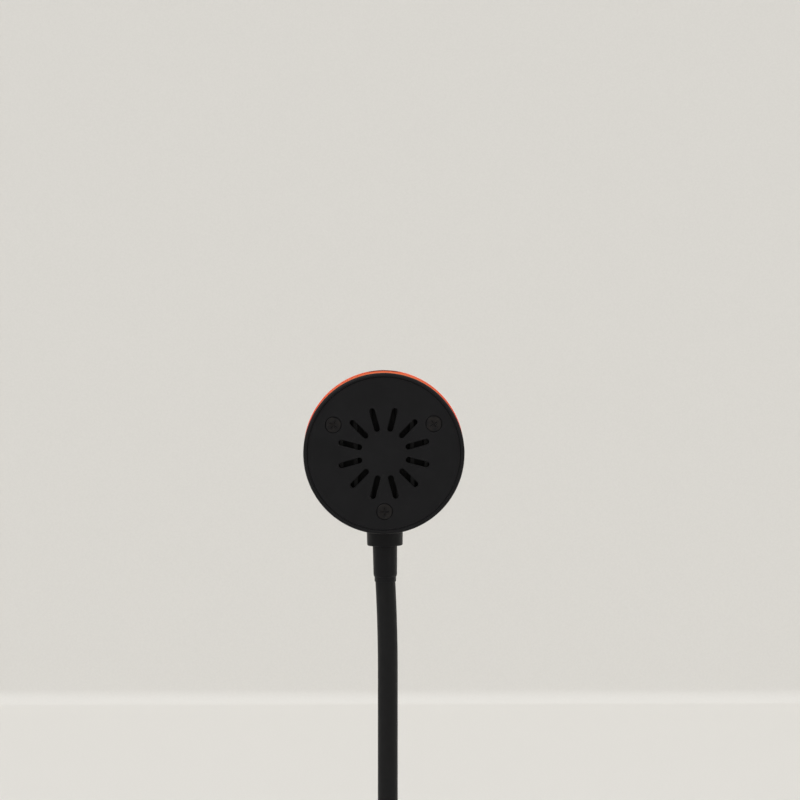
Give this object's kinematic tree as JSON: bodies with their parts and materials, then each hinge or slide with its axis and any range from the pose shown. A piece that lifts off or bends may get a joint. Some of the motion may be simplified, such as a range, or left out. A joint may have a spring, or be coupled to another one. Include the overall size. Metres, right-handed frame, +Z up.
{
  "type": "projection lamp",
  "caption": "Round sunset projection lamp head with a clear front lens on a sleeved flexible neck, over a round weighted base with a USB-C inlet and a push button.",
  "frame": {"origin": "centre of the round base on the surface that the lamp stands on", "axes": "+Z up, along the lamp's height; +Y the way the light leaves the front lens; -Y out of the USB-C inlet"},
  "size_m": [0.09, 0.09, 0.2739],
  "materials": {
    "black_anodised": "matt black anodised",
    "black_oxide_steel": "black oxide",
    "black_powder_coat": "matt black powder coat",
    "black_sleeve": "satin black silicone",
    "neck_steel": "plain steel",
    "zinc_steel": "zinc plated",
    "weight_steel": "raw cast iron",
    "board_white": "white solder resist",
    "board_green": "green solder resist",
    "emitter": "warm phosphor under a clear dome",
    "clear_glass": "clear polished",
    "sunset_glass": "orange to red graded filter",
    "black_plastic": "moulded, fine texture",
    "black_rubber": "matt",
    "socket_steel": "nickel plated",
    "lead_red": "extruded insulation"
  },
  "bodies": {
    "base": {"base_shell": "black_powder_coat", "base_weight": "weight_steel", "bottom_plate": "black_powder_coat", "bottom_plate_screws": "zinc_steel", "foot_ring": "black_rubber", "lower_collar": "black_anodised", "lower_ferrule": "black_anodised", "lower_nut": "zinc_steel", "driver_board": "board_green", "driver_components": "black_plastic", "board_screws": "zinc_steel", "usb_socket": "socket_steel", "usb_tongue": "black_plastic", "push_switch": "socket_steel", "led_lead": "lead_red", "neck_core_00": "neck_steel", "neck_sleeve_00": "black_sleeve"},
    "neck_01": {"neck_core_01": "neck_steel", "neck_sleeve_01": "black_sleeve"},
    "neck_02": {"neck_core_02": "neck_steel", "neck_sleeve_02": "black_sleeve"},
    "neck_03": {"neck_core_03": "neck_steel", "neck_sleeve_03": "black_sleeve"},
    "neck_04": {"neck_core_04": "neck_steel", "neck_sleeve_04": "black_sleeve"},
    "neck_05": {"neck_core_05": "neck_steel", "neck_sleeve_05": "black_sleeve"},
    "neck_06": {"neck_core_06": "neck_steel", "neck_sleeve_06": "black_sleeve"},
    "neck_07": {"neck_core_07": "neck_steel", "neck_sleeve_07": "black_sleeve"},
    "neck_08": {"neck_core_08": "neck_steel", "neck_sleeve_08": "black_sleeve"},
    "neck_09": {"neck_core_09": "neck_steel", "neck_sleeve_09": "black_sleeve"},
    "neck_10": {"neck_core_10": "neck_steel", "neck_sleeve_10": "black_sleeve"},
    "neck_11": {"neck_core_11": "neck_steel", "neck_sleeve_11": "black_sleeve"},
    "head": {"head_housing": "black_anodised", "rear_cover": "black_anodised", "rear_cover_screws": "black_oxide_steel", "saddle_collar": "black_anodised", "upper_ferrule": "black_anodised", "upper_nut": "zinc_steel", "heat_sink": "black_anodised", "led_board": "board_white", "led_emitter": "emitter", "inner_screws": "zinc_steel", "lens_barrel": "black_plastic", "condenser_lens": "clear_glass", "sunset_filter": "sunset_glass", "filter_ring": "black_plastic", "front_lens": "clear_glass", "lens_gasket": "black_rubber", "neck_core_12": "neck_steel", "neck_sleeve_12": "black_sleeve"},
    "button": {"power_button": "black_plastic", "switch_plunger": "black_plastic"}
  },
  "joints": [
    {"name": "lower_pitch", "type": "hinge", "parent": "base", "child": "neck_01", "pos_m": [0, 0, 0.03925], "axis": [1, 0, 0], "range_deg": [-15, 15], "deforming": ["neck_sleeve_00", "neck_sleeve_01", "led_lead"]},
    {"name": "lower_roll", "type": "hinge", "parent": "neck_01", "child": "neck_02", "pos_m": [0, 0, 0.05375], "axis": [0, 1, 0], "range_deg": [-15, 15], "deforming": ["neck_sleeve_02"]},
    {"name": "lower_pitch_03", "type": "hinge", "parent": "neck_02", "child": "neck_03", "pos_m": [0, 0, 0.06825], "axis": [1, 0, 0], "range_deg": [-15, 15], "deforming": ["neck_sleeve_03"]},
    {"name": "lower_roll_04", "type": "hinge", "parent": "neck_03", "child": "neck_04", "pos_m": [0, 0, 0.08275], "axis": [0, 1, 0], "range_deg": [-15, 15], "deforming": ["neck_sleeve_04"]},
    {"name": "lower_pitch_05", "type": "hinge", "parent": "neck_04", "child": "neck_05", "pos_m": [0, 0, 0.09725], "axis": [1, 0, 0], "range_deg": [-15, 15], "deforming": ["neck_sleeve_05"]},
    {"name": "lower_roll_06", "type": "hinge", "parent": "neck_05", "child": "neck_06", "pos_m": [0, 0, 0.11175], "axis": [0, 1, 0], "range_deg": [-15, 15], "deforming": ["neck_sleeve_06"]},
    {"name": "upper_pitch", "type": "hinge", "parent": "neck_06", "child": "neck_07", "pos_m": [0, 0, 0.12625], "axis": [1, 0, 0], "range_deg": [-15, 15], "deforming": ["neck_sleeve_07"]},
    {"name": "upper_roll", "type": "hinge", "parent": "neck_07", "child": "neck_08", "pos_m": [0, 0, 0.14075], "axis": [0, 1, 0], "range_deg": [-15, 15], "deforming": ["neck_sleeve_08"]},
    {"name": "upper_pitch_09", "type": "hinge", "parent": "neck_08", "child": "neck_09", "pos_m": [0, 0, 0.15525], "axis": [1, 0, 0], "range_deg": [-15, 15], "deforming": ["neck_sleeve_09"]},
    {"name": "upper_roll_10", "type": "hinge", "parent": "neck_09", "child": "neck_10", "pos_m": [0, 0, 0.16975], "axis": [0, 1, 0], "range_deg": [-15, 15], "deforming": ["neck_sleeve_10"]},
    {"name": "upper_pitch_11", "type": "hinge", "parent": "neck_10", "child": "neck_11", "pos_m": [0, 0, 0.18425], "axis": [1, 0, 0], "range_deg": [-15, 15], "deforming": ["neck_sleeve_11"]},
    {"name": "upper_roll_12", "type": "hinge", "parent": "neck_11", "child": "head", "pos_m": [-0.00039, 0, 0.19875], "axis": [0, 1, 0], "range_deg": [-15, 15], "deforming": ["neck_sleeve_12"]},
    {"name": "button_press", "type": "slide", "parent": "base", "child": "button", "axis": [0, 0, -1], "range_m": [0, 0.0006], "stiffness_N_per_m": 600, "springref_m": -0.0003}
  ],
  "couplings": [
    {"joint": "lower_pitch_03", "follows": "lower_pitch", "ratio": 1},
    {"joint": "lower_roll_04", "follows": "lower_roll", "ratio": 1},
    {"joint": "lower_pitch_05", "follows": "lower_pitch", "ratio": 1},
    {"joint": "lower_roll_06", "follows": "lower_roll", "ratio": 1},
    {"joint": "upper_pitch_09", "follows": "upper_pitch", "ratio": 1},
    {"joint": "upper_roll_10", "follows": "upper_roll", "ratio": 1},
    {"joint": "upper_pitch_11", "follows": "upper_pitch", "ratio": 1},
    {"joint": "upper_roll_12", "follows": "upper_roll", "ratio": 1}
  ]
}
